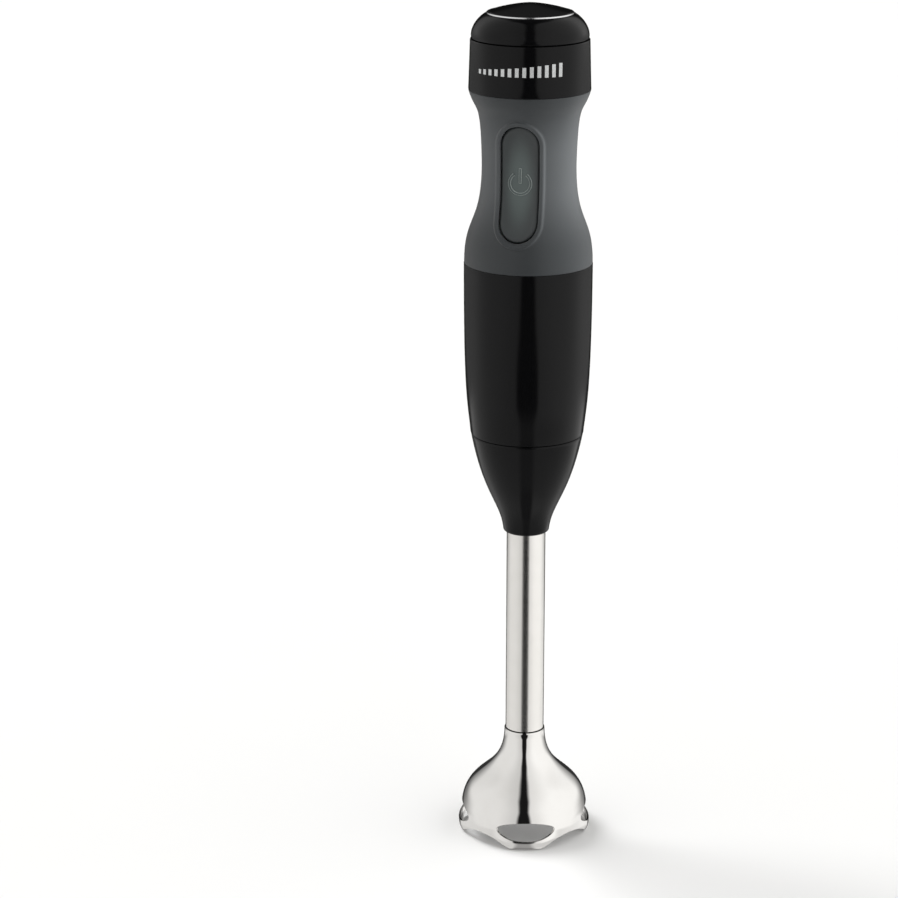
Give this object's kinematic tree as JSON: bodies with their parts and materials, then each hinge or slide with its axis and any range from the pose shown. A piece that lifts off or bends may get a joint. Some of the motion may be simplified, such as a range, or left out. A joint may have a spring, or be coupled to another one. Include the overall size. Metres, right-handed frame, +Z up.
{
  "type": "immersion blender",
  "caption": "Stick blender with a long power button, a speed dial on top and a stainless blending arm that twists off, ending in a windowed bell.",
  "frame": {"origin": "on the floor under the middle of the bell, on the axis of the shaft", "axes": "+Z up along the shaft to the speed dial, -Y towards the side with the power button"},
  "size_m": [0.0642, 0.0642, 0.4062],
  "materials": {
    "gloss_black": "high gloss moulded",
    "soft_grip": "matt soft touch",
    "button_grey": "fine matt",
    "stainless": "satin polished",
    "bright_trim": "polished",
    "seal_rubber": "matt",
    "black_nylon": "moulded",
    "natural_nylon": "moulded",
    "zinc_steel": "zinc plated",
    "ground_steel": "ground",
    "spring_steel": "drawn wire",
    "blade_steel": "ground edge",
    "board_green": "solder mask",
    "film_yellow": "moulded box",
    "sink_aluminium": "extruded",
    "copper_enamel": "enamelled wire",
    "lead_insulation": "PVC",
    "terminal_blue": "moulded",
    "core_steel": "stacked laminations",
    "bronze": "sintered",
    "brass": "pressed",
    "carbon": "pressed carbon",
    "cast_aluminium": "die cast",
    "switch_red": "moulded"
  },
  "bodies": {
    "motor_body": {"motor_housing": "gloss_black", "grip_sleeve": "soft_grip", "top_collar": "gloss_black", "cord_gland": "seal_rubber", "cord_clamp": "natural_nylon", "clamp_screws": "zinc_steel", "carrier_frame": "natural_nylon", "carrier_screws": "zinc_steel", "control_board": "board_green", "capacitor": "film_yellow", "heat_sink": "sink_aluminium", "choke": "copper_enamel", "terminal_block": "terminal_blue", "power_switch": "black_nylon", "speed_switch": "black_nylon", "detent_spring": "spring_steel", "button_springs": "spring_steel", "lead_wires": "lead_insulation", "stator_core": "core_steel", "field_coils": "copper_enamel", "upper_bracket": "black_nylon", "lower_bracket": "cast_aluminium", "upper_bearing": "bronze", "lower_bearing": "ground_steel", "brush_holders": "brass", "carbon_brushes": "carbon", "brush_springs": "spring_steel", "motor_bolts": "zinc_steel", "upper_mount": "seal_rubber", "lower_mount": "seal_rubber", "bulkhead": "black_nylon", "bulkhead_seal": "seal_rubber"},
    "rotor": {"motor_shaft": "ground_steel", "armature_core": "core_steel", "armature_windings": "copper_enamel", "commutator": "copper_enamel", "cooling_fan": "natural_nylon", "drive_dog": "zinc_steel"},
    "power_button": {"power_button": "button_grey", "switch_plunger": "switch_red"},
    "speed_dial": {"dial_cap": "gloss_black", "dial_ring": "bright_trim", "dial_disc": "gloss_black", "dial_spindle": "zinc_steel", "dial_cam": "natural_nylon", "dial_circlip": "spring_steel"},
    "lock_ring": {"lock_ring": "black_nylon"},
    "blending_arm": {"arm_adapter": "gloss_black", "arm_socket": "black_nylon", "joint_ring": "seal_rubber", "arm_tube": "stainless", "bell": "stainless", "tube_clip": "spring_steel", "upper_bush": "bronze", "lower_bush": "bronze", "tube_seal": "seal_rubber"},
    "blade_shaft": {"drive_shaft": "ground_steel", "driven_dog": "black_nylon", "blade": "blade_steel", "blade_hub": "ground_steel"}
  },
  "joints": [
    {"name": "rotor_spin", "type": "hinge", "parent": "motor_body", "child": "rotor", "pos_m": [0, 0, 0.256], "axis": [0, 0, 1], "continuous": true},
    {"name": "button_press", "type": "slide", "parent": "motor_body", "child": "power_button", "axis": [0, 1, 0], "range_m": [0, 0.0025], "stiffness_N_per_m": 600, "springref_m": -0.002, "deforming": ["button_springs"]},
    {"name": "dial_turn", "type": "hinge", "parent": "motor_body", "child": "speed_dial", "pos_m": [0, 0, 0.3922], "axis": [0, 0, -1], "range_deg": [0, 45]},
    {"name": "arm_twist", "type": "hinge", "parent": "motor_body", "child": "lock_ring", "pos_m": [0, 0, 0.2122], "axis": [0, 0, 1], "range_deg": [-30, 0]},
    {"name": "arm_pull", "type": "slide", "parent": "lock_ring", "child": "blending_arm", "axis": [0, 0, -1], "range_m": [0, 0.04]},
    {"name": "blade_spin", "type": "hinge", "parent": "blending_arm", "child": "blade_shaft", "pos_m": [0, 0, 0.1], "axis": [0, 0, 1], "continuous": true}
  ],
  "couplings": [
    {"joint": "blade_spin", "follows": "rotor_spin", "ratio": 1}
  ]
}
